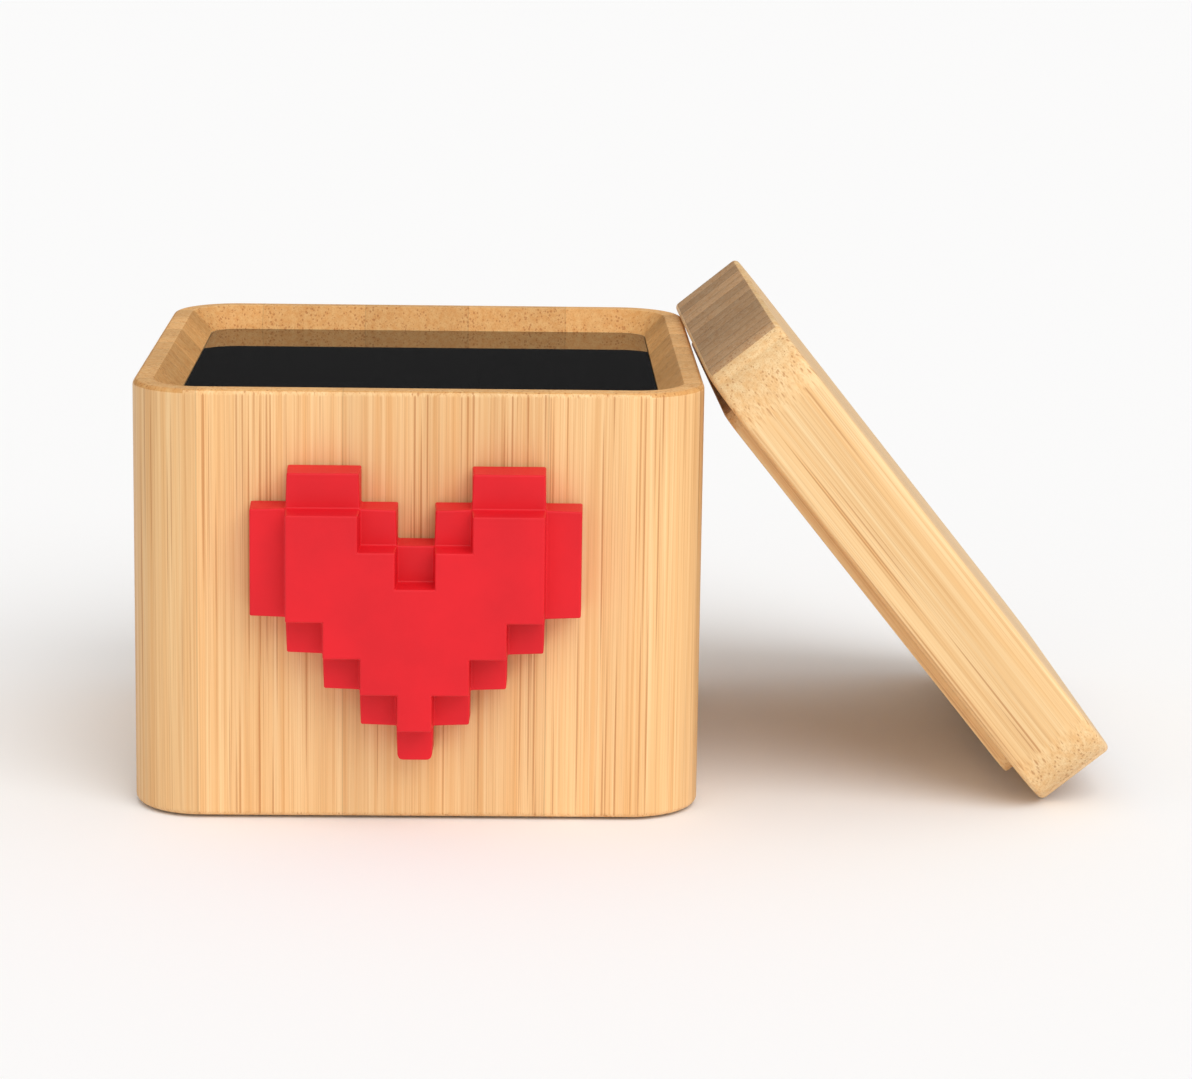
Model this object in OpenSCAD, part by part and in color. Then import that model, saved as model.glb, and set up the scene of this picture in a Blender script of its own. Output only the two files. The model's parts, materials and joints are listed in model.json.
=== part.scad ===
// Bamboo message box with a heart that turns on its front, a black display
// glass in its top and a loose lid that leans against its right side.
// Millimetres. Origin: centre of the face it stands on. +X right, +Y back, +Z up.

/* [Case] */
// Width and depth of the case
case_w = 100; // [90:1:120]
// Height from the table to the rim
case_h = 76.3; // [74:0.1:90]
// Radius of the upright corners
corner_r = 12.5; // [10:0.5:16]
// Thickness of the walls
wall = 7.4; // [6:0.1:9]
// Width of the flat on top of the rim
rim_flat = 3.8; // [2:0.1:5]
// Depth from the rim to the display glass
recess = 4.1; // [4:0.1:6]
// Radius of the outer edges
edge = 1; // [0.3:0.1:1.5]
// Size of the four blocks inside the corners
block = 11; // [9:0.5:12]

/* [Lid] */
// Thickness of the lid
lid_t = 15.5; // [12:0.1:20]
// Distance from the lid's edge to its lip
lip_inset = 7.9; // [7.7:0.1:9]
// Height of the lip
lip_h = 2; // [1:0.1:3]
// Lean of the lid above the table
lid_lean = 51.2; // [45:0.1:65]
// Turn of the leaning lid seen from above
lid_turn = 1.3; // [0:0.1:3]
// Gap between the leaning lid and the case's edge
lid_gap = 0.08; // [0.05:0.01:0.3]
// Offset of the lid towards the back
lid_offset_y = 5.5; // [-10:0.5:10]

/* [Heart] */
// Side of one square step of the heart
cell = 6.35; // [5.8:0.05:6.4]
// Height of the turning axis
axis_z = 38.2; // [37:0.1:39]
// Gap between the wall and the heart
heart_gap = 0.8; // [0.5:0.1:2]
// Thickness of the wide layer
layer_1 = 6.6; // [5.8:0.1:8]
// Thickness of the raised layer
layer_2 = 4.9; // [3:0.1:8]

/* [Gears] */
// Thickness of the large gears
gear_t = 3; // [2.5:0.1:3]
// Radius of the heart's spindle
spindle_r = 2; // [1.8:0.1:2]
// Radial clearance of the turning fits
run = 0.05; // [0.02:0.01:0.08]

/* [Display] */
// Thickness of the display glass
glass_t = 2; // [1.5:0.1:3]
// Length of the display module
lcd_l = 76; // [70:1:76]
// Width of the display module
lcd_w = 50; // [46:1:50]

/* [Electronics] */
// Thickness of the circuit boards
board_t = 1.6; // [1:0.1:2]
// Sideways place of the power inlet
inlet_x = 15; // [12:1:20]
// Height of the power inlet
inlet_z = 14; // [13:0.5:15]
// Radius of the power inlet
inlet_r = 4.6; // [4:0.1:5]

/* [Hidden] */
$fn = 48;
gear_m = 0.5;
teeth_big = 36;
teeth_small = 12;
backlash = 0.12;
pressure = 25;
half = case_w / 2;
inner = half - wall;
inner_r = corner_r - wall;
lid_drop = edge * (1 - sin(lid_lean) - cos(lid_lean));
lid_reach = ((case_h - edge - lid_drop) * cos(lid_lean) + edge + lid_gap) / sin(lid_lean);
lid_skew = (half - corner_r - lid_offset_y) * sin(lid_turn);
lid_foot_x = half - edge + (lid_reach + lid_skew) / cos(lid_turn);
foot = 0.5;
pad_t = 1;
plate_t = 3;
plate_top = pad_t + plate_t;
glass_z = case_h - recess;
frame_z = 58;
fit_gap = 0.2;
gear_d = gear_m * (teeth_big + teeth_small) / 2;
idler_z = axis_z - gear_d;
motor_x = -gear_d;
wall_y = -inner;
flange_t = 1;
gear_plate_t = 1.5;
plate_y1 = wall_y + flange_t;
gear_y1 = plate_y1 + gear_plate_t + 0.8;
gear_y2 = gear_y1 + gear_t + 0.5;
plate_y2 = gear_y2 + gear_t + 0.8;
motor_y = plate_y2 + gear_plate_t;
motor_r = 10;
motor_len = 23;
motor_flat = 7.6;
shaft_r = 1;
board_z = plate_top + 3;
board_top = board_z + board_t;
lcd_z = glass_z - glass_t - 5;
wall_spots = [[-20, 16], [12, 16], [-20, 48], [12, 48]];
pillar_spots = [[-14, 43], [14, 32], [6, 12.5]];
board_spots = [[-26, -20], [26, -20], [-26, 32], [26, 32]];
lcd_spots = [[-37.5, -27.5], [37.5, -27.5], [-37.5, 27.5], [37.5, 27.5]];
post = inner - block / 2;
post_spots = [[-post, -post], [post, -post], [-post, post], [post, post]];
heart_rows = [[[1, 2], [6, 2]], [[0, 4], [5, 4]], [[0, 9]], [[0, 9]],
    [[1, 7]], [[2, 5]], [[3, 3]], [[4, 1]]];
raised_rows = [[], [[1, 2], [6, 2]], [[1, 3], [5, 3]], [[1, 7]],
    [[2, 5]], [[3, 3]], [[4, 1]], []];

// Rounded square of half side a and corner radius r
module soft_square(a, r) {
    square([2 * a, 2 * (a - r)], center = true);
    square([2 * (a - r), 2 * a], center = true);
    for (x = [-1, 1], y = [-1, 1])
        translate([x * (a - r), y * (a - r)]) circle(r);
}

// Rounded slab from z0 to z1 with its top and bottom edges rounded to radius c
module soft_slab(a, r, z0, z1, c) {
    hull()
        for (t = [0:30:90]) {
            inset = c * (1 - cos(t));
            rise = c * (1 - sin(t));
            translate([0, 0, z0 + rise]) linear_extrude(z1 - z0 - 2 * rise)
                soft_square(a - inset, r - inset, $fn = 32);
        }
}

// Plain block given by two corners
module span(p, q) {
    translate(p) cube(q - p);
}

// Cylinder along Y from y0 to y1 about the axis at (x, z)
module rod_y(x, z, r, y0, y1) {
    translate([x, y0, z]) rotate([-90, 0, 0]) cylinder(r = r, h = y1 - y0);
}

// Cylinder along Z
module rod_z(x, y, r, z0, z1) {
    translate([x, y, z0]) cylinder(r = r, h = z1 - z0);
}

// Pan-head screw: seat at z = 0, head above, shank below, cross recess
module screw(head_r, head_h, shank_r, shank_l) {
    difference() {
        union() {
            cylinder(r = head_r, h = head_h);
            translate([0, 0, -shank_l]) cylinder(r = shank_r, h = shank_l);
        }
        for (a = [0, 90])
            rotate([0, 0, a]) translate([-head_r * 0.6, -0.3, head_h * 0.4]) cube([head_r * 1.2, 0.6, head_h]);
    }
}

// Involute geometry
function inv_angle(rb, r) = r <= rb ? 0 : sqrt(pow(r / rb, 2) - 1) * 180 / PI - acos(rb / r);
function polar(r, a) = [r * cos(a), r * sin(a)];
function flank(rp, rb, ra, rr, half_a) = [
    for (r = [rr, rb, (rb + rp) / 2, rp, (rp + ra) / 2, ra])
        if (r >= rr) [max(r, rr), half_a + inv_angle(rb, rp) - inv_angle(rb, r)]];
function gear_points(n) =
    let (rp = gear_m * n / 2, rb = rp * cos(pressure), ra = rp + gear_m * 0.95,
        rr = rp - gear_m * 1.25, half_a = 90 / n - backlash / 2 / rp * 180 / PI,
        f = flank(rp, rb, ra, min(rr, rb - 0.01), half_a), k = len(f))
    [for (i = [0:n - 1]) let (c = 360 * i / n)
        each concat([for (j = [0:k - 1]) polar(f[j][0], c - f[j][1])],
            [for (j = [k - 1:-1:0]) polar(f[j][0], c + f[j][1])])];

// Spur gear about a Y axis at (x, z) between y0 and y1
module gear(x, z, n, turn, y0, y1) {
    translate([x, y1, z]) rotate([90, 0, 0]) rotate([0, 0, turn])
        linear_extrude(y1 - y0) polygon(gear_points(n));
}

module case_body() color("burlywood") difference() {
    soft_slab(half, corner_r, foot, case_h, edge);
    difference() {
        translate([0, 0, -1]) linear_extrude(glass_z + 1) soft_square(inner, inner_r);
        for (p = post_spots)
            translate([p[0], p[1], plate_top]) linear_extrude(frame_z - plate_top)
                square(block + 0.01, center = true);
    }
    hull() {
        translate([0, 0, glass_z - 0.01]) linear_extrude(0.01) soft_square(inner, inner_r, $fn = 32);
        translate([0, 0, case_h]) linear_extrude(1)
            soft_square(half - rim_flat, corner_r - rim_flat, $fn = 32);
    }
    rod_y(0, axis_z, 4.5, -half - 1, wall_y + 1);
    rod_y(inlet_x, inlet_z, inlet_r + 0.9, inner - 1, half + 1);
    for (p = wall_spots)
        rod_y(p[0], p[1], 1.2, wall_y - 5, wall_y + 1);
    for (p = post_spots)
        rod_z(p[0], p[1], 1.4, plate_top - 1, plate_top + 12);
}

module bottom_plate() color("dimgray") difference() {
    union() {
        translate([0, 0, pad_t]) linear_extrude(plate_t) soft_square(inner - fit_gap, inner_r);
        for (p = board_spots)
            rod_z(p[0], p[1], 2.5, plate_top, board_z);
    }
    for (p = board_spots)
        rod_z(p[0], p[1], 1, plate_top - 1.5, board_z + 1);
    for (p = post_spots) {
        rod_z(p[0], p[1], 1.6, 0, plate_top + 1);
        rod_z(p[0], p[1], 3.2, 0, pad_t + 1.6);
    }
}

module base_pad() color("black")
    linear_extrude(pad_t) difference() {
        soft_square(inner - 1, inner_r);
        for (p = post_spots)
            translate(p) circle(5);
    }

module bottom_screws() color("silver")
    for (p = post_spots)
        translate([p[0], p[1], pad_t + 1.6]) rotate([180, 0, 0]) screw(2.8, 1.4, 1.4, 12);

module inlet_trim() color("black") difference() {
    rod_y(inlet_x, inlet_z, inlet_r + 0.9, inner, half);
    rod_y(inlet_x, inlet_z, inlet_r, inner - 1, half + 1);
}

module glass_panel() color([0.05, 0.05, 0.06])
    translate([0, 0, glass_z - glass_t]) linear_extrude(glass_t) soft_square(inner - fit_gap, inner_r);

module display_frame() color([0.12, 0.12, 0.13]) difference() {
    translate([0, 0, frame_z]) linear_extrude(glass_z - glass_t - frame_z)
        soft_square(inner - fit_gap, inner_r);
    span([-40, -31, frame_z + 2], [40, 31, glass_z]);
    span([-34, -22, frame_z - 1], [34, 22, glass_z]);
    for (p = lcd_spots)
        rod_z(p[0], p[1], 1, frame_z + 0.5, glass_z);
}

module lcd_module() color([0.08, 0.1, 0.12])
    span([-lcd_l / 2, -lcd_w / 2, lcd_z], [lcd_l / 2, lcd_w / 2, lcd_z + 5]);

module lcd_frame() color("silver") difference() {
    span([-lcd_l / 2 - 0.8, -lcd_w / 2 - 0.8, lcd_z], [lcd_l / 2 + 0.8, lcd_w / 2 + 0.8, lcd_z + 4.8]);
    span([-lcd_l / 2, -lcd_w / 2, lcd_z - 1], [lcd_l / 2, lcd_w / 2, lcd_z + 6]);
}

module display_board() color("darkgreen") difference() {
    span([-39.8, -29, lcd_z - board_t], [39.8, 30.8, lcd_z]);
    for (p = lcd_spots)
        rod_z(p[0], p[1], 1.2, lcd_z - 3, lcd_z + 1);
}

module display_screws() color("silver")
    for (p = lcd_spots)
        translate([p[0], p[1], lcd_z]) screw(1.5, 1, 1, 4);

module light_sensor() color([0.8, 0.85, 0.9]) {
    rod_z(28, 29, 1.5, lcd_z, lcd_z + 2.5);
    translate([28, 29, lcd_z + 2.5]) sphere(1.5);
}

module display_ribbon() color("ivory")
    span([-8, 19.8, board_top + 3], [8, 20.2, lcd_z - board_t - 2]);

module ribbon_sockets() color("white") {
    span([-10, 18, board_top], [10, 22, board_top + 3]);
    span([-10, 18, lcd_z - board_t - 2], [10, 22, lcd_z - board_t]);
}

module main_board() color("green") difference() {
    span([-30, -24, board_z], [30, 36, board_top]);
    for (p = board_spots)
        rod_z(p[0], p[1], 1.2, board_z - 1, board_top + 1);
}

module board_screws() color("silver")
    for (p = board_spots)
        translate([p[0], p[1], board_top]) screw(2, 1.3, 1, 5.5);

module radio_board() color("darkblue")
    span([0, -22, board_top], [16, 2, board_top + 0.8]);

module radio_shield() color("silver")
    span([0.5, -16, board_top + 0.8], [15.5, 1.5, board_top + 3]);

module processor() color([0.1, 0.1, 0.1])
    span([-18, -19, board_top], [-6, -7, board_top + 1.2]);

module capacitors() color("slategray")
    for (y = [4, 11])
        rod_z(24, y, 2.5, board_top, board_top + 6);

module motor_socket() color("white")
    span([-17, -1.5, board_top], [-7, 4, board_top + 5]);

module power_jack() color([0.1, 0.1, 0.1]) {
    difference() {
        span([inlet_x - 4.5, 29, board_top], [inlet_x + 4.5, inner - fit_gap, inlet_z + 5]);
        rod_y(inlet_x, inlet_z, 3.1, 32, inner + 1);
    }
    rod_y(inlet_x, inlet_z, 1, 32, inner - 2);
}

module front_bush() color("goldenrod") difference() {
    union() {
        rod_y(0, axis_z, 4.5, -half, wall_y);
        rod_y(0, axis_z, 7, wall_y, plate_y1);
    }
    rod_y(0, axis_z, spindle_r + run, -half - 1, plate_y1 + 1);
}

module front_gear_plate() color("lightsteelblue") difference() {
    span([-24, plate_y1, 9.5], [18, plate_y1 + gear_plate_t, 52]);
    rod_y(0, axis_z, spindle_r + run, plate_y1 - 1, gear_y1);
    rod_y(0, idler_z, shaft_r, plate_y1 - 1, gear_y1);
    for (p = wall_spots)
        rod_y(p[0], p[1], 1.6, plate_y1 - 1, gear_y1);
}

module rear_gear_plate() color("lightsteelblue") difference() {
    span([-24, plate_y2, 9.5], [18, motor_y, 47]);
    rod_y(0, axis_z, spindle_r + run, plate_y2 - 1, motor_y + 1);
    rod_y(0, idler_z, shaft_r, plate_y2 - 1, motor_y + 1);
    rod_y(motor_x, idler_z, 3 + run, plate_y2 - 1, motor_y + 1);
    for (p = pillar_spots)
        rod_y(p[0], p[1], 1.4, plate_y2 - 1, motor_y + 1);
    for (s = [-1, 1])
        rod_y(motor_x, idler_z + s * 6, 0.9, plate_y2 - 1, motor_y + 1);
}

module plate_pillars() color("silver")
    for (p = pillar_spots)
        difference() {
            rod_y(p[0], p[1], 2.5, plate_y1 + gear_plate_t, plate_y2);
            rod_y(p[0], p[1], 1.25, plate_y2 - 6, plate_y2 + 1);
        }

module pillar_screws() color("gray")
    for (p = pillar_spots)
        translate([p[0], motor_y, p[1]]) rotate([-90, 0, 0]) screw(2.4, 1.4, 1.25, 6);

module wall_screws() color("gray")
    for (p = wall_spots)
        translate([p[0], plate_y1 + gear_plate_t, p[1]]) rotate([-90, 0, 0]) screw(2.6, 0.7, 1.2, 7);

module wall_spacers() color("silver")
    for (p = wall_spots)
        difference() {
            rod_y(p[0], p[1], 3, wall_y, plate_y1);
            rod_y(p[0], p[1], 1.6, wall_y - 1, plate_y1 + 1);
        }

// Round can with two flats
module motor_round(r, flat, y0, y1) {
    intersection() {
        rod_y(motor_x, idler_z, r, y0, y1);
        span([motor_x - r, y0, idler_z - flat], [motor_x + r, y1, idler_z + flat]);
    }
}

module motor_can() color("silver") difference() {
    union() {
        motor_round(motor_r, motor_flat, motor_y, motor_y + motor_len);
        rod_y(motor_x, idler_z, 3, plate_y2, motor_y);
    }
    motor_round(motor_r - 1, motor_flat - 0.8, motor_y + 1.2, motor_y + motor_len + 1);
    rod_y(motor_x, idler_z, shaft_r + run, plate_y2 - 1, motor_y + 2);
    for (s = [-1, 1])
        rod_y(motor_x, idler_z + s * 6, 0.9, motor_y - 1, motor_y + 2);
}

module motor_magnets() color("black") difference() {
    motor_round(motor_r - 1, 4, motor_y + 4, motor_y + motor_len - 6);
    rod_y(motor_x, idler_z, 6.6, motor_y + 3, motor_y + motor_len);
}

module motor_end_cap() color("white") difference() {
    motor_round(motor_r - 1, motor_flat - 0.8, motor_y + motor_len - 2, motor_y + motor_len);
    rod_y(motor_x, idler_z, shaft_r + run, motor_y, motor_y + motor_len + 1);
}

module motor_screws() color("gray")
    for (s = [-1, 1])
        translate([motor_x, plate_y2, idler_z + s * 6]) rotate([90, 0, 0]) screw(1.6, 0.8, 0.9, 2.6);

module motor_leads() color("firebrick")
    for (s = [-1, 1]) {
        rod_y(motor_x + s * 3, idler_z, 0.6, motor_y + motor_len, 1);
        translate([motor_x + s * 3, 1, idler_z]) sphere(0.6);
        rod_z(motor_x + s * 3, 1, 0.6, board_top + 5, idler_z);
    }

module idler_shaft() color("silver")
    rod_y(0, idler_z, shaft_r, plate_y1, motor_y);

module idler_gear() color("ivory") difference() {
    union() {
        gear(0, idler_z, teeth_small, 15, gear_y1 - 0.3, gear_y2);
        gear(0, idler_z, teeth_big, 0, gear_y2, gear_y2 + gear_t - 0.4);
    }
    rod_y(0, idler_z, shaft_r + run, gear_y1 - 1, plate_y2 + 1);
}

module motor_shaft() color("silver")
    rod_y(motor_x, idler_z, shaft_r, gear_y2 - 0.4, motor_y + motor_len + 0.5);

module motor_rotor() color("sienna") difference() {
    rod_y(motor_x, idler_z, 6, motor_y + 4, motor_y + motor_len - 5);
    rod_y(motor_x, idler_z, shaft_r, motor_y + 3, motor_y + motor_len);
}

module motor_pinion() color("goldenrod") difference() {
    gear(motor_x, idler_z, teeth_small, 15, gear_y2 - 0.3, gear_y2 + gear_t);
    rod_y(motor_x, idler_z, shaft_r, gear_y2 - 1, gear_y2 + gear_t + 1);
}

module spindle() color("silver")
    rod_y(0, axis_z, spindle_r, -half - heart_gap - layer_1 + 1, motor_y + 3);

module spindle_clip() color("gray") difference() {
    rod_y(0, axis_z, 3.8, motor_y + 0.3, motor_y + 1.1);
    rod_y(0, axis_z, spindle_r, motor_y, motor_y + 2);
}

module output_gear() color("ivory") difference() {
    gear(0, axis_z, teeth_big, 0, gear_y1, gear_y1 + gear_t);
    rod_y(0, axis_z, spindle_r, gear_y1 - 1, gear_y2);
}

module heart_hub() color("goldenrod") difference() {
    rod_y(0, axis_z, 4, -half - heart_gap - layer_1 + 0.4, -half - heart_gap);
    rod_y(0, axis_z, spindle_r, -half - heart_gap - layer_1 + 1, -half);
}

// One layer of square steps: rows of [first column, number of columns]
module steps(rows, y0, y1) {
    for (r = [0:len(rows) - 1], s = rows[r])
        span([(s[0] - 4.5) * cell, y0, axis_z + (3 - r) * cell],
            [(s[0] + s[1] - 4.5) * cell, y1, axis_z + (4 - r) * cell]);
}

module heart() color("crimson") difference() {
    union() {
        steps(heart_rows, -half - heart_gap - layer_1, -half - heart_gap);
        steps(raised_rows, -half - heart_gap - layer_1 - layer_2, -half - heart_gap);
    }
    rod_y(0, axis_z, 4, -half - heart_gap - layer_1 + 0.4, -half);
}

module lid() color("burlywood")
    translate([lid_foot_x, lid_offset_y, lid_drop]) rotate([0, 0, lid_turn]) rotate([0, lid_lean, 0])
    translate([-half, 0, 0]) {
        soft_slab(half, corner_r, 0, lid_t, edge);
        translate([0, 0, -lip_h]) linear_extrude(lip_h + 1) soft_square(half - lip_inset, 4.5);
    }

case_body();
bottom_plate();
base_pad();
bottom_screws();
inlet_trim();
glass_panel();
display_frame();
lcd_module();
lcd_frame();
display_board();
display_screws();
light_sensor();
display_ribbon();
main_board();
board_screws();
radio_board();
radio_shield();
processor();
capacitors();
ribbon_sockets();
motor_socket();
power_jack();
front_bush();
front_gear_plate();
rear_gear_plate();
plate_pillars();
pillar_screws();
wall_screws();
wall_spacers();
motor_can();
motor_magnets();
motor_end_cap();
motor_screws();
motor_leads();
idler_shaft();
idler_gear();
motor_shaft();
motor_rotor();
motor_pinion();
spindle();
spindle_clip();
output_gear();
heart_hub();
heart();
lid();
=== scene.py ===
"""Looks of the bamboo message box: case, lid, turning heart, black glass and the parts inside.
Lengths are in millimetres until mesh_object() or MM turns them into Blender's metres."""
import json
import math

import bmesh
import bpy
from mathutils import Matrix, Vector


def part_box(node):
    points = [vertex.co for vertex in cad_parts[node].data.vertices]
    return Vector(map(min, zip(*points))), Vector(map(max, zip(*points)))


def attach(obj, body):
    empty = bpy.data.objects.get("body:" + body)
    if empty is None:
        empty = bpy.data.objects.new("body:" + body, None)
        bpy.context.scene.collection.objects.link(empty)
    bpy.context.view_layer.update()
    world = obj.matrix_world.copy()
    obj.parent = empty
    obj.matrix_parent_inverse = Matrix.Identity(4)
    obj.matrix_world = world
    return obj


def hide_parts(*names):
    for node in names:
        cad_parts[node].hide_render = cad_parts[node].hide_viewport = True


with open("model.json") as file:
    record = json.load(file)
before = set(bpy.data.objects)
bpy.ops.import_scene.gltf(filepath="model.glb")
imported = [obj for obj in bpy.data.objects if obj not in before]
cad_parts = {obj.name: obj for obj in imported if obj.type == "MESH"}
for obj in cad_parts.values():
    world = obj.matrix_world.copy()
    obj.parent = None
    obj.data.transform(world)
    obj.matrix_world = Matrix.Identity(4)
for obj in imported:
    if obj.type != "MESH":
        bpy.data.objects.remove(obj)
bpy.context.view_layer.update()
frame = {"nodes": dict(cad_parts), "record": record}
NODES = frame["nodes"]
MM = 0.001


def box_mm(name):
    """Lowest and highest corner of a CAD node's box, in millimetres."""
    return [Vector(corner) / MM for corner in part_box(name)]


# The case: outer sizes from the boxes of the CAD nodes, the rest as in the CAD model
case_lo, case_hi = box_mm("case_body")
glass_top = box_mm("glass_panel")[1]
HALF = case_hi.x
TOP = case_hi.z
FOOT = case_lo.z
GLASS_Z = glass_top.z
GLASS_PLAY = 0.2
INNER = glass_top.x + GLASS_PLAY
WALL = HALF - INNER
CORNER = 12.5
LEAST_CORNER = 0.5
RIM_FLAT = 3.8
RIM_SOFT = 0.35
EDGE = 1.0
PLATE_TOP = 4.0
BLOCK = 11.0
BLOCK_TOP = box_mm("display_frame")[0].z
BUSH_HOLE_R = 4.5

# The lid, and how it leans in the CAD model
LID_T = 15.5
LID_EDGE = 1.05
LIP_INSET = 7.9
LIP_H = 2.0
LIP_CORNER = 4.5
LIP_EDGE = 0.5
LID_LEAN = math.radians(51.2)
LID_TURN = math.radians(1.3)
LID_GAP = 0.08
LID_OFFSET_Y = 5.5

# The heart: one row per step from the top, as (first column, number of columns)
HEART_ROWS = [[(1, 2), (6, 2)], [(0, 4), (5, 4)], [(0, 9)], [(0, 9)], [(1, 7)], [(2, 5)], [(3, 3)], [(4, 1)]]
RAISED_ROWS = [[], [(1, 2), (6, 2)], [(1, 3), (5, 3)], [(1, 7)], [(2, 5)], [(3, 3)], [(4, 1)], []]
HEART_COLUMNS = 9
HUB_COVER = 0.4
DRAFT = 0.22
TIP_ROUND = 1.1
EDGE_ROUND_SHARE = 0.28

# How finely the rounds are cut
CORNER_STEPS = 14
EDGE_STEPS = 5

# The camera: place, then yaw, pitch and roll in degrees
CAMERA_PLACE = (13.98, -629.73, 179.57)
CAMERA_TURN = (1.65, 10.54, 0.85)
LENS = 103.6
LENS_SHIFT = -0.1

# Glue joints of the bamboo boards: half the width of the line, and how much darker it is
JOINT_HALF_WIDTH = 0.12
JOINT_DARKER = 0.16


# ---------------------------------------------------------------- camera
def make_camera():
    """The main view: a long lens in front of the case, looking down on its rim."""
    data = bpy.data.cameras.new("camera")
    data.sensor_width = 36.0
    data.lens = LENS
    data.shift_y = LENS_SHIFT
    cam = bpy.data.objects.new("camera", data)
    bpy.context.scene.collection.objects.link(cam)
    yaw, pitch, roll = (math.radians(a) for a in CAMERA_TURN)
    turn = Matrix.Rotation(-yaw, 4, "Z") @ Matrix.Rotation(math.pi / 2 - pitch, 4, "X")
    turn = turn @ Matrix.Rotation(roll, 4, "Z")
    cam.matrix_world = Matrix.Translation(Vector(CAMERA_PLACE) * MM) @ turn
    bpy.context.scene.camera = cam


# ---------------------------------------------------------------- node helper
class Tree:
    """Short calls for building one material's nodes."""

    def __init__(self, name):
        self.mat = bpy.data.materials.new(name)
        self.mat.use_nodes = True
        self.nodes = self.mat.node_tree.nodes
        self.links = self.mat.node_tree.links
        self.shader = self.nodes["Principled BSDF"]

    def add(self, kind, **values):
        node = self.nodes.new(kind)
        for key, value in values.items():
            setattr(node, key, value)
        return node

    def put(self, source, socket):
        """Link an output to the socket, or set the socket to a plain value."""
        if hasattr(source, "is_output"):
            self.links.new(source, socket)
        else:
            socket.default_value = source

    def math(self, op, a, b=0.0):
        node = self.add("ShaderNodeMath", operation=op)
        self.put(a, node.inputs[0])
        self.put(b, node.inputs[1])
        return node.outputs[0]

    def local(self, matrix=None):
        """Object coordinates in millimetres, optionally through a rigid matrix."""
        coords = self.add("ShaderNodeTexCoord").outputs["Object"]
        scale = self.add("ShaderNodeMapping")
        scale.inputs["Scale"].default_value = (1 / MM,) * 3
        self.put(coords, scale.inputs["Vector"])
        if matrix is None:
            return scale.outputs[0]
        place = self.add("ShaderNodeMapping")
        place.inputs["Location"].default_value = matrix.to_translation()
        place.inputs["Rotation"].default_value = matrix.to_euler("XYZ")
        self.put(scale.outputs[0], place.inputs["Vector"])
        return place.outputs[0]

    def stretch(self, vector, scale, offset=(0, 0, 0)):
        """A vector scaled along each axis, then moved."""
        node = self.add("ShaderNodeMapping")
        node.inputs["Scale"].default_value = scale
        node.inputs["Location"].default_value = offset
        self.put(vector, node.inputs["Vector"])
        return node.outputs[0]

    def noise(self, vector, scale=1.0, detail=2.0, rough=0.5):
        node = self.add("ShaderNodeTexNoise")
        self.put(vector, node.inputs["Vector"])
        node.inputs["Scale"].default_value = scale
        node.inputs["Detail"].default_value = detail
        node.inputs["Roughness"].default_value = rough
        return node.outputs["Fac"]

    def spread(self, value, low, high, to_low=0.0, to_high=1.0):
        """The range low..high stretched onto to_low..to_high, and held at its ends."""
        node = self.add("ShaderNodeMapRange")
        for key, item in zip(("From Min", "From Max", "To Min", "To Max"), (low, high, to_low, to_high)):
            node.inputs[key].default_value = item
        self.put(value, node.inputs["Value"])
        return node.outputs["Result"]

    def mix(self, fac, a, b, blend="MIX"):
        node = self.add("ShaderNodeMix", data_type="RGBA", blend_type=blend)
        self.put(fac, node.inputs[0])
        self.put(a, node.inputs[6])
        self.put(b, node.inputs[7])
        return node.outputs[2]

    def bump(self, height, depth, strength):
        node = self.add("ShaderNodeBump")
        node.inputs["Distance"].default_value = depth * MM
        node.inputs["Strength"].default_value = strength
        self.put(height, node.inputs["Height"])
        self.put(node.outputs[0], self.shader.inputs["Normal"])


def rgb(r, g, b):
    """Display colour from 0 to 255, as Blender's linear colour."""
    def one(c):
        c /= 255
        return c / 12.92 if c <= 0.04045 else ((c + 0.055) / 1.055) ** 2.4
    return (one(r), one(g), one(b), 1)


# ---------------------------------------------------------------- bamboo
def bands(t, position, edges, shades):
    """A shade for each board between glue joints, and a thin dark line at each joint."""
    value, line = shades[0], 1.0
    for edge, before, after in zip(edges, shades, shades[1:]):
        past = t.math("GREATER_THAN", position, edge)
        value = t.math("ADD", value, t.math("MULTIPLY", past, after - before))
        distance = t.math("ABSOLUTE", t.math("SUBTRACT", position, edge))
        near = t.math("LESS_THAN", distance, JOINT_HALF_WIDTH)
        line = t.math("SUBTRACT", line, t.math("MULTIPLY", near, JOINT_DARKER))
    return t.math("MULTIPLY", value, line)


def strips(t, position, width, low, high, line=0.84):
    """Narrow glued strips: each with its own tone, darker towards one side, a line at each joint."""
    count = t.math("MULTIPLY", position, 1 / width)
    seed = t.add("ShaderNodeTexWhiteNoise", noise_dimensions="1D")
    t.put(t.math("FLOOR", count), seed.inputs["W"])
    tone = t.spread(seed.outputs["Value"], 0, 1, low, high)
    across = t.math("FRACT", count)
    fade = t.spread(across, 0.0, 1.0, 1.03, 0.93)
    joint = t.spread(across, 0.0, 0.1, line, 1.0)
    return t.math("MULTIPLY", t.math("MULTIPLY", tone, fade), joint)


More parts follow.
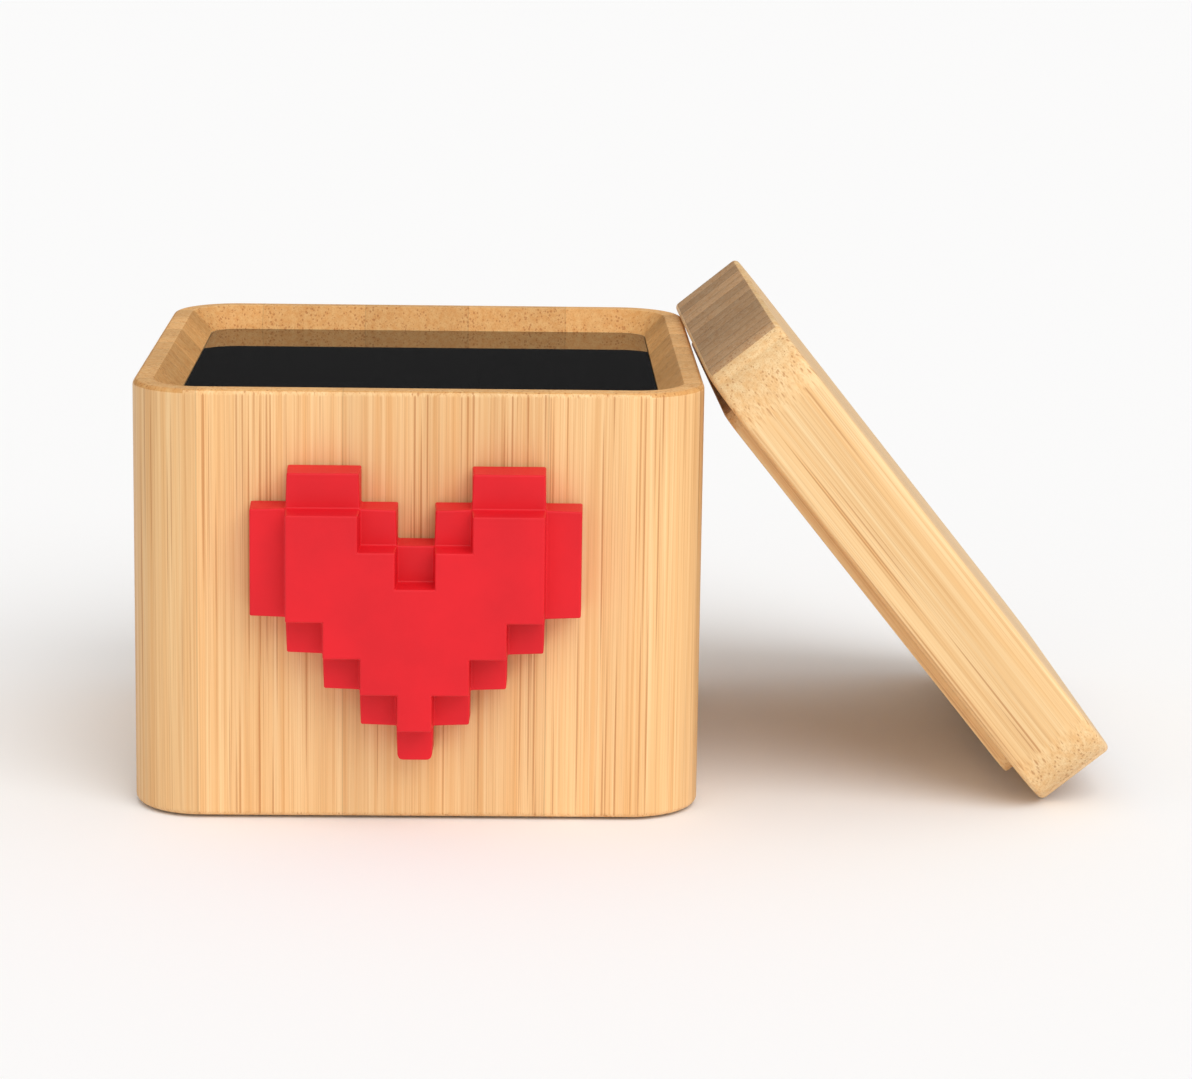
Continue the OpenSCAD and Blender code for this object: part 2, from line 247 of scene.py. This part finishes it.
def bamboo(name, fibre, shading, matrix=None, tint=(1, 1, 1, 1)):
    """Laminated bamboo: fibres run along one axis (0 to 2), so cut ends show as dots. shading
    turns the position into the tone of the glued strips."""
    t = Tree(name)
    place = t.local(matrix)

    def along(across, length, offset=0.0):
        scale = [across] * 3
        scale[fibre] = length
        return t.stretch(place, scale, (offset, offset * 1.7, offset * 2.3))

    broad = t.noise(along(0.1, 0.005, 3.1), detail=2)
    band = t.noise(along(0.9, 0.006, 7.7), detail=3, rough=0.65)
    fine = t.noise(along(4.6, 0.022, 1.3), detail=2, rough=0.55)
    crowd = t.noise(along(0.3, 0.004, 21.0), detail=1)
    bundle = t.add("ShaderNodeTexVoronoi")
    t.put(along(1.55, 0.012, 5.2), bundle.inputs["Vector"])
    bundle.inputs["Scale"].default_value = 1.0
    reach = t.spread(crowd, 0.35, 0.65, 0.18, 0.38)
    core = t.spread(t.math("SUBTRACT", reach, bundle.outputs["Distance"]), 0.0, 0.1)

    colour = t.mix(t.spread(band, 0.34, 0.66), rgb(244, 204, 149), rgb(234, 182, 121))
    colour = t.mix(t.spread(fine, 0.48, 0.74, 0.0, 0.5), colour, rgb(196, 130, 68))
    colour = t.mix(t.math("MULTIPLY", core, 0.55), colour, rgb(178, 108, 50))
    parts = t.add("ShaderNodeSeparateXYZ")
    t.put(place, parts.inputs[0])
    tone = t.math("MULTIPLY", shading(t, parts.outputs), t.spread(broad, 0.3, 0.7, 0.93, 1.05))
    colour = t.mix(1.0, colour, tone, "MULTIPLY")
    colour = t.mix(1.0, colour, tint, "MULTIPLY")
    t.put(colour, t.shader.inputs["Base Color"])
    t.put(t.spread(band, 0.3, 0.7, 0.42, 0.54), t.shader.inputs["Roughness"])
    t.shader.inputs["Specular IOR Level"].default_value = 0.3
    t.bump(t.math("SUBTRACT", fine, t.math("MULTIPLY", core, 0.5)), 0.04, 0.5)
    return t.mat


def case_shading(t, axes):
    """Broad boards on the front and back, narrow strips on the two sides."""
    x, y = axes[0], axes[1]
    front = bands(t, x, [-38.0, -12.8, 22.6], [0.9, 1.02, 0.96, 1.04])
    back = bands(t, x, [-33.0, -12.7, 7.7, 27.0], [1.0, 0.97, 0.88, 0.96, 1.04])
    behind = t.math("GREATER_THAN", y, 0)
    board = t.math("ADD", front, t.math("MULTIPLY", behind, t.math("SUBTRACT", back, front)))
    side = strips(t, y, 7.8, 0.88, 1.06)
    reach = HALF - WALL
    beside = t.math("GREATER_THAN", t.math("ABSOLUTE", x), reach)
    between = t.math("LESS_THAN", t.math("ABSOLUTE", y), reach)
    pick = t.math("MULTIPLY", beside, between)
    return t.math("ADD", board, t.math("MULTIPLY", pick, t.math("SUBTRACT", side, board)))


def lid_shading(t, axes):
    """Narrow strips glued side by side across the lid."""
    return strips(t, axes[1], 5.6, 0.94, 1.05, 0.9)


def lid_end_shading(t, axes):
    """The same strips, plainer to see where they are cut across."""
    return strips(t, axes[1], 6.4, 0.8, 1.12, 0.5)


# ---------------------------------------------------------------- other materials
def moulded(name, colour, rough, grain=0.02, scale=6.0, spec=0.5):
    """Moulded plastic or rubber: a faint mottle, uneven gloss and a fine skin."""
    t = Tree(name)
    place = t.local()
    mottle = t.noise(place, 0.08, 3)
    skin = t.noise(place, scale, 2)
    darker = tuple(c * 0.9 for c in colour[:3]) + (1,)
    t.put(t.mix(t.spread(mottle, 0.35, 0.65), darker, colour), t.shader.inputs["Base Color"])
    t.put(t.spread(skin, 0.3, 0.7, rough - 0.05, rough + 0.05), t.shader.inputs["Roughness"])
    t.shader.inputs["Specular IOR Level"].default_value = spec
    t.bump(skin, grain, 0.4)
    return t.mat


def metal(name, colour, rough, along=0):
    """Worked metal with fine lines along one axis."""
    t = Tree(name)
    scale = [9.0] * 3
    scale[along] = 0.3
    lines = t.noise(t.stretch(t.local(), scale), 1.0, 2)
    dull = tuple(c * 0.82 for c in colour[:3]) + (1,)
    t.put(t.mix(t.spread(lines, 0.35, 0.65), dull, colour), t.shader.inputs["Base Color"])
    t.put(t.spread(lines, 0.3, 0.7, rough - 0.06, rough + 0.08), t.shader.inputs["Roughness"])
    t.shader.inputs["Metallic"].default_value = 1.0
    t.bump(lines, 0.01, 0.3)
    return t.mat


def black_glass():
    """The half-mirror over the display: black, polished, with a trace of dust in its gloss."""
    t = Tree("black_glass")
    dust = t.noise(t.local(), 0.6, 4)
    t.put(t.mix(dust, rgb(10, 10, 11), rgb(14, 14, 15)), t.shader.inputs["Base Color"])
    t.put(t.spread(dust, 0.3, 0.8, 0.015, 0.035), t.shader.inputs["Roughness"])
    t.shader.inputs["IOR"].default_value = 1.5
    return t.mat


def circuit(name, colour):
    """Solder mask with faint copper tracks under it."""
    t = Tree(name)
    place = t.local()
    parts = t.add("ShaderNodeTexBrick", offset=0.5)
    t.put(t.stretch(place, (0.35, 0.35, 0.35)), parts.inputs["Vector"])
    track = tuple(min(1, c * 1.9 + 0.01) for c in colour[:3]) + (1,)
    t.put(colour, parts.inputs["Color1"])
    t.put(tuple(c * 0.85 for c in colour[:3]) + (1,), parts.inputs["Color2"])
    t.put(track, parts.inputs["Mortar"])
    parts.inputs["Mortar Size"].default_value = 0.04
    t.put(parts.outputs["Color"], t.shader.inputs["Base Color"])
    t.put(t.spread(t.noise(place, 1.2), 0.3, 0.7, 0.25, 0.4), t.shader.inputs["Roughness"])
    return t.mat


def lens_resin():
    """Clear resin over the light sensor."""
    t = Tree("lens_resin")
    haze = t.noise(t.local(), 2.0)
    t.put(t.mix(haze, rgb(215, 222, 228), rgb(232, 236, 240)), t.shader.inputs["Base Color"])
    t.put(t.spread(haze, 0.3, 0.7, 0.05, 0.12), t.shader.inputs["Roughness"])
    t.shader.inputs["Transmission Weight"].default_value = 0.8
    return t.mat


# ---------------------------------------------------------------- meshes
def ring(a, r, z):
    """Points of a rounded square of half side a and corner radius r, at height z."""
    points = []
    for k, (sx, sy) in enumerate(((1, 1), (-1, 1), (-1, -1), (1, -1))):
        for i in range(CORNER_STEPS + 1):
            angle = math.radians(90 * k + 90 * i / CORNER_STEPS)
            points.append(Vector((sx * (a - r) + r * math.cos(angle), sy * (a - r) + r * math.sin(angle), z)))
    return points


def loft(bm, rings, closed=False):
    """Skin a stack of rings; closed joins the last ring to the first."""
    rows = [[bm.verts.new(p) for p in points] for points in rings]
    pairs = list(zip(rows, rows[1:]))
    if closed:
        pairs.append((rows[-1], rows[0]))
    count = len(rows[0])
    for low, high in pairs:
        for i in range(count):
            j = (i + 1) % count
            bm.faces.new((low[i], low[j], high[j], high[i]))
    return rows


def arc(centre, radius, start, end, steps=EDGE_STEPS):
    """Profile points (inset, height) round a centre, angles in degrees."""
    out = []
    for i in range(steps + 1):
        angle = math.radians(start + (end - start) * i / steps)
        out.append((centre[0] + radius * math.cos(angle), centre[1] + radius * math.sin(angle)))
    return out


def mesh_object(name, bm, matrix=None, sharp=35.0):
    """Finish a mesh: outward faces, smooth shading with sharp creases, in metres."""
    if matrix is not None:
        bm.transform(matrix)
    bm.transform(Matrix.Scale(MM, 4))
    bmesh.ops.remove_doubles(bm, verts=bm.verts, dist=1e-7)
    bmesh.ops.recalc_face_normals(bm, faces=bm.faces)
    for face in bm.faces:
        face.smooth = True
    for edge in bm.edges:
        edge.smooth = len(edge.link_faces) == 2 and edge.calc_face_angle() < math.radians(sharp)
    mesh = bpy.data.meshes.new(name)
    bm.to_mesh(mesh)
    bm.free()
    piece = bpy.data.objects.new(name, mesh)
    bpy.context.scene.collection.objects.link(piece)
    return piece


def even_normals(piece):
    """Large flats keep their own normal beside small rounds."""
    mod = piece.modifiers.new("even_normals", "WEIGHTED_NORMAL")
    mod.mode = "FACE_AREA"
    mod.weight = 50
    mod.keep_sharp = True


def cut(piece, cutters):
    """Boolean the cutters out of the piece and apply."""
    for cutter in cutters:
        mod = piece.modifiers.new("cut", "BOOLEAN")
        mod.operation = "DIFFERENCE"
        mod.solver = "EXACT"
        mod.object = cutter
    bpy.context.view_layer.update()
    graph = bpy.context.evaluated_depsgraph_get()
    mesh = bpy.data.meshes.new_from_object(piece.evaluated_get(graph))
    piece.modifiers.clear()
    piece.data = mesh
    for cutter in cutters:
        bpy.data.objects.remove(cutter)


def drill(x, z, radius, y0, y1):
    """A cylinder along Y, for cutting a hole."""
    bm = bmesh.new()
    bmesh.ops.create_cone(bm, segments=48, radius1=radius, radius2=radius, depth=y1 - y0, cap_ends=True)
    place = Matrix.Translation((x, (y0 + y1) / 2, z)) @ Matrix.Rotation(math.pi / 2, 4, "X")
    return mesh_object("drill", bm, place)


def by_face(piece, materials, choose):
    """Give each face the material that choose(centre, normal) names, in the piece's millimetres."""
    for material in materials:
        piece.data.materials.append(material)
    for face in piece.data.polygons:
        face.material_index = choose(face.center / MM, face.normal)


def make_case(walls, rim, bevel):
    """The bamboo case: rounded outside, flat rim, inner bevel, straight inner wall, open below."""
    profile = arc((EDGE, FOOT + EDGE), EDGE, 270, 180)
    profile += arc((EDGE, TOP - EDGE), EDGE, 180, 90)
    profile += arc((RIM_FLAT - RIM_SOFT, TOP - RIM_SOFT), RIM_SOFT, 90, 40, 3)
    profile += [(WALL, GLASS_Z), (WALL, FOOT)]
    bm = bmesh.new()
    loft(bm, [ring(HALF - d, max(CORNER - d, LEAST_CORNER), z) for d, z in profile], closed=True)
    post = INNER - BLOCK / 2
    for sx in (-1, 1):
        for sy in (-1, 1):
            size = (BLOCK, BLOCK, BLOCK_TOP - PLATE_TOP)
            place = Matrix.Translation((sx * post, sy * post, (BLOCK_TOP + PLATE_TOP) / 2))
            bmesh.ops.create_cube(bm, size=1, matrix=place @ Matrix.Diagonal((*size, 1)))
    case = mesh_object("case_shell", bm)
    bush_lo, bush_hi = box_mm("front_bush")
    trim_lo, trim_hi = box_mm("inlet_trim")
    bush = (bush_lo + bush_hi) / 2
    trim = (trim_lo + trim_hi) / 2
    over = 1
    cut(case, [
        drill(bush.x, bush.z, BUSH_HOLE_R, -HALF - over, -INNER + over),
        drill(trim.x, trim.z, (trim_hi.x - trim_lo.x) / 2, INNER - over, HALF + over),
    ])
    even_normals(case)

    def choose(centre, normal):
        """0 for the walls, 1 for the flat rim, 2 for the bevel inside it."""
        sloping, level = 0.3, 0.9
        inside = max(abs(centre.x), abs(centre.y)) < HALF - EDGE / 2
        if not inside or centre.z < GLASS_Z or normal.z < sloping:
            return 0
        return 1 if normal.z > level else 2

    by_face(case, (walls, rim, bevel), choose)
    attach(case, "case")
    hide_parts("case_body")


def lid_matrix():
    """From the lid's own frame, lying flat, to where it leans on the case's edge."""
    sin, cos = math.sin(LID_LEAN), math.cos(LID_LEAN)
    drop = EDGE * (1 - sin - cos)
    reach = ((TOP - EDGE - drop) * cos + EDGE + LID_GAP) / sin
    skew = (HALF - CORNER - LID_OFFSET_Y) * math.sin(LID_TURN)
    foot_x = HALF - EDGE + (reach + skew) / math.cos(LID_TURN)
    turn = Matrix.Rotation(LID_TURN, 4, "Z") @ Matrix.Rotation(LID_LEAN, 4, "Y")
    return Matrix.Translation((foot_x, LID_OFFSET_Y, drop)) @ turn @ Matrix.Translation((-HALF, 0, 0))


def make_lid(faces, ends):
    """The loose lid: a rounded board with a raised lip underneath."""
    lip_half = HALF - LIP_INSET
    lip_profile = arc((LIP_EDGE, LIP_EDGE - LIP_H), LIP_EDGE, 270, 180, 4)
    rings = [ring(lip_half - d, LIP_CORNER - d, z) for d, z in lip_profile]
    rings.append(ring(lip_half, LIP_CORNER, 0.0))
    profile = arc((LID_EDGE, LID_EDGE), LID_EDGE, 270, 180)
    profile += arc((LID_EDGE, LID_T - LID_EDGE), LID_EDGE, 180, 90)
    rings += [ring(HALF - d, CORNER - d, z) for d, z in profile]
    bm = bmesh.new()
    rows = loft(bm, rings)
    bm.faces.new(rows[0])
    bm.faces.new(rows[-1])
    lid = mesh_object("lid_board", bm, lid_matrix())
    even_normals(lid)
    length = lid_matrix().to_3x3() @ Vector((1, 0, 0))
    end_facing = 0.93
    by_face(lid, (faces, ends), lambda centre, normal: int(abs(normal.dot(length)) > end_facing))
    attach(lid, "lid")
    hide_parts("lid")


# ---------------------------------------------------------------- heart
def cells(rows):
    """The grid cells (column, row) that a list of rows fills."""
    return {(column, row) for row, spans in enumerate(rows)
            for first, count in spans for column in range(first, first + count)}


def outward(cell_set, i, j):
    """Which way a grid corner moves when the outline grows."""
    push = Vector((0, 0))
    for dc in (0, 1):
        for dr in (0, 1):
            if (i - dc, j - dr) in cell_set:
                push += Vector((2 * dc - 1, 1 - 2 * dr))
    return Vector([max(-1, min(1, v)) for v in push])


def on_edge(cell_set, i, j):
    """Whether a grid corner lies on the outline of the cells."""
    around = [(i - a, j - b) in cell_set for a in (0, 1) for b in (0, 1)]
    return any(around) and not all(around)


def outline(cell_set):
    """The grid edges round the cells, each as its two corners."""
    for c, r in cell_set:
        sides = {
            (c - 1, r): ((c, r + 1), (c, r)),
            (c + 1, r): ((c + 1, r), (c + 1, r + 1)),
            (c, r - 1): ((c, r), (c + 1, r)),
            (c, r + 1): ((c + 1, r + 1), (c, r + 1)),
        }
        for neighbour, corners in sides.items():
            if neighbour not in cell_set:
                yield corners


def stepped_mesh(lo, hi):
    """A wide stepped layer with a raised stepped layer on it, both drafted towards the front."""
    wide, raised = cells(HEART_ROWS), cells(RAISED_ROWS)
    step = (hi.x - lo.x) / HEART_COLUMNS
    middle = box_mm("heart_hub")[0].y - HUB_COVER
    # Levels 0 and 1 are the wide layer's back and front, 2 and 3 the raised layer's foot and front
    depths = (hi.y, middle, middle, lo.y)
    sizes = (0, -DRAFT, 0, -DRAFT)
    bm = bmesh.new()
    made = {}

    def vert(i, j, level):
        if (i, j, level) not in made:
            grow = outward(raised if level >= 2 else wide, i, j) * sizes[level]
            place = (lo.x + i * step + grow.x, depths[level], hi.z - j * step + grow.y)
            made[i, j, level] = bm.verts.new(place)
        return made[i, j, level]

    def middle_vert(i, j):
        """Corners round the raised layer's foot belong to the raised outline."""
        return vert(i, j, 2 if on_edge(raised, i, j) else 1)

    for c, r in wide:
        corners = [(c, r), (c + 1, r), (c + 1, r + 1), (c, r + 1)]
        bm.faces.new([vert(*p, 0) for p in corners])
        if (c, r) in raised:
            bm.faces.new([vert(*p, 3) for p in corners])
        else:
            bm.faces.new([middle_vert(*p) for p in corners])
    for a, b in outline(wide):
        bm.faces.new([vert(*a, 0), vert(*b, 0), middle_vert(*b), middle_vert(*a)])
    for a, b in outline(raised):
        bm.faces.new([vert(*a, 2), vert(*b, 2), vert(*b, 3), vert(*a, 3)])
    bmesh.ops.recalc_face_normals(bm, faces=bm.faces)
    bmesh.ops.dissolve_limit(bm, angle_limit=math.radians(2), verts=bm.verts, edges=bm.edges)
    return bm


def weigh_edges(bm, tip_z, front):
    """How much each edge is rounded: fully at the corners of the lowest cell, a little elsewhere."""
    weight = bm.edges.layers.float.new("bevel_weight_edge")
    for edge in bm.edges:
        if len(edge.link_faces) != 2 or edge.calc_face_angle() < math.radians(20):
            continue
        a, b = (v.co for v in edge.verts)
        depthwise = abs(a.y - b.y) > 1
        at_tip = max(a.z, b.z) < tip_z and min(a.y, b.y) > front + 1
        edge[weight] = 1.0 if depthwise and at_tip else EDGE_ROUND_SHARE


def make_heart(material):
    """One moulding: a stepped heart with a raised middle, its edges rounded."""
    lo, hi = box_mm("heart")
    bm = stepped_mesh(lo, hi)
    half_step = (hi.x - lo.x) / HEART_COLUMNS / 2
    weigh_edges(bm, lo.z + half_step, lo.y)
    heart = mesh_object("heart_moulding", bm, sharp=60)
    round_off = heart.modifiers.new("round_off", "BEVEL")
    round_off.limit_method = "WEIGHT"
    round_off.width = TIP_ROUND * MM
    round_off.segments = 4
    round_off.use_clamp_overlap = True
    even_normals(heart)
    heart.data.materials.append(material)
    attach(heart, "turner")
    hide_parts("heart")


# ---------------------------------------------------------------- inside parts
def dress_nodes():
    """Materials and soft edges for the CAD nodes that stay."""
    looks = {
        "grey_plastic": moulded("grey_plastic", rgb(66, 66, 69), 0.5),
        "black_plastic": moulded("black_plastic", rgb(24, 24, 25), 0.42),
        "white_plastic": moulded("white_plastic", rgb(226, 222, 210), 0.38),
        "pad_rubber": moulded("pad_rubber", rgb(30, 27, 26), 0.85, 0.15, 3.0, 0.2),
        "steel": metal("steel", rgb(190, 191, 194), 0.32),
        "brass": metal("brass", rgb(214, 172, 88), 0.28, 1),
        "board": circuit("board", rgb(20, 88, 44)),
        "board_blue": circuit("board_blue", rgb(18, 42, 110)),
        "chip": moulded("chip", rgb(28, 28, 30), 0.55),
        "lcd": moulded("lcd", rgb(20, 22, 24), 0.2, 0.004),
        "copper": metal("copper", rgb(176, 98, 52), 0.4, 1),
        "lens": lens_resin(),
        "wire_red": moulded("wire_red", rgb(176, 24, 22), 0.4),
        "ribbon": moulded("ribbon", rgb(222, 214, 188), 0.35),
        "black_glass": black_glass(),
    }
    slot_of = {part["node"]: part["material_slot"] for part in frame["record"]["subparts"]}
    flat_sided = ("bottom_plate", "glass_panel", "base_pad", "inlet_trim", "bottom_screws", "main_board",
                  "display_frame", "power_jack", "radio_shield", "processor", "motor_socket")
    for name, node in NODES.items():
        if slot_of[name] not in looks:
            continue
        node.data.materials.clear()
        node.data.materials.append(looks[slot_of[name]])
        if name in flat_sided:
            soften = node.modifiers.new("soften", "BEVEL")
            soften.width = 0.15 * MM
            soften.segments = 2
            soften.limit_method = "ANGLE"
            soften.angle_limit = math.radians(50)


# ---------------------------------------------------------------- studio
def stage_mesh(name, verts, faces, material):
    """A mesh that belongs to the studio, not to the model. Its points are in metres."""
    mesh = bpy.data.meshes.new(name)
    mesh.from_pydata(verts, [], faces)
    obj = bpy.data.objects.new(name, mesh)
    bpy.context.scene.collection.objects.link(obj)
    obj.data.materials.append(material)
    return obj


def sun(name, direction, power, spread):
    """Even light over the whole floor, from the given direction, as soft as a sky patch of that spread."""
    data = bpy.data.lights.new(name, "SUN")
    data.energy = power
    data.angle = math.radians(spread)
    lamp = bpy.data.objects.new(name, data)
    lamp.rotation_euler = (-Vector(direction)).to_track_quat("-Z", "Y").to_euler()
    bpy.context.scene.collection.objects.link(lamp)


def make_sky():
    """A white studio, brightest towards the front right and dimmest behind to the left."""
    world = bpy.data.worlds.new("studio")
    bpy.context.scene.world = world
    world.use_nodes = True
    nodes, links = world.node_tree.nodes, world.node_tree.links
    facing = nodes.new("ShaderNodeVectorMath")
    facing.operation = "DOT_PRODUCT"
    facing.inputs[1].default_value = Vector((0.25, -0.95, 0.1)).normalized()
    links.new(nodes.new("ShaderNodeTexCoord").outputs["Generated"], facing.inputs[0])
    level = nodes.new("ShaderNodeMapRange")
    level.inputs["From Min"].default_value = -0.9
    level.inputs["From Max"].default_value = 0.9
    level.inputs["To Min"].default_value = 0.52
    level.inputs["To Max"].default_value = 0.92
    links.new(facing.outputs["Value"], level.inputs["Value"])
    links.new(level.outputs["Result"], nodes["Background"].inputs["Strength"])
    nodes["Background"].inputs["Color"].default_value = (1.0, 0.995, 0.99, 1)


def make_studio():
    """White floor, soft light from the front right, and a dark ring that only reflections see, so
    the black glass stays black. Lengths are in metres here."""
    floor = Tree("floor_paper")
    floor.shader.inputs["Base Color"].default_value = (0.93, 0.93, 0.93, 1)
    floor.shader.inputs["Roughness"].default_value = 0.9
    floor.shader.inputs["Specular IOR Level"].default_value = 0.0
    reach = 8.0
    corners = [(-reach, -reach, 0), (reach, -reach, 0), (reach, reach, 0), (-reach, reach, 0)]
    stage_mesh("floor", corners, [(0, 1, 2, 3)], floor.mat)

    flag = Tree("flag_cloth")
    flag.shader.inputs["Base Color"].default_value = (0.03, 0.03, 0.03, 1)
    flag.shader.inputs["Specular IOR Level"].default_value = 0.0
    count, radius, low, high = 48, 1.6, 0.16, 1.2
    angles = [2 * math.pi * i / count for i in range(count)]
    points = [(radius * math.cos(a), radius * math.sin(a), z) for z in (low, high) for a in angles]
    faces = [(i, (i + 1) % count, count + (i + 1) % count, count + i) for i in range(count)]
    ring_flag = stage_mesh("flag_ring", points, faces, flag.mat)
    for ray in ("camera", "diffuse", "shadow", "transmission", "volume_scatter"):
        setattr(ring_flag, "visible_" + ray, False)

    make_sky()
    sun("key", (0.34, -0.62, 0.76), 1.3, 50)
    view = bpy.context.scene.view_settings
    view.view_transform = "Standard"
    view.look = "None"


# ---------------------------------------------------------------- build
make_camera()
lid_frame = lid_matrix().inverted()
make_case(
    bamboo("bamboo_case", 2, case_shading),
    bamboo("bamboo_rim", 2, case_shading, tint=(0.96, 0.89, 0.78, 1)),
    # The bevel's dark tint is partly the darker tone of end grain cut on a slope, partly painted shade where
    # the bevel drops into the recess round the glass.
    bamboo("bamboo_bevel_grain_and_painted_shade", 2, case_shading, tint=(0.84, 0.71, 0.52, 1)),
)
make_lid(
    bamboo("bamboo_lid", 0, lid_shading, lid_frame, (1.0, 1.08, 1.16, 1)),
    # The ends' dark tint is partly the darker tone of end grain, partly painted shade for the upper end,
    # which faces away from the key light.
    bamboo("bamboo_lid_end_grain_and_painted_shade", 0, lid_end_shading, lid_frame, (0.68, 0.67, 0.74, 1)),
)
make_heart(moulded("heart_red", rgb(226, 23, 36), 0.5, 0.02, 5.0, 0.3))
dress_nodes()
make_studio()
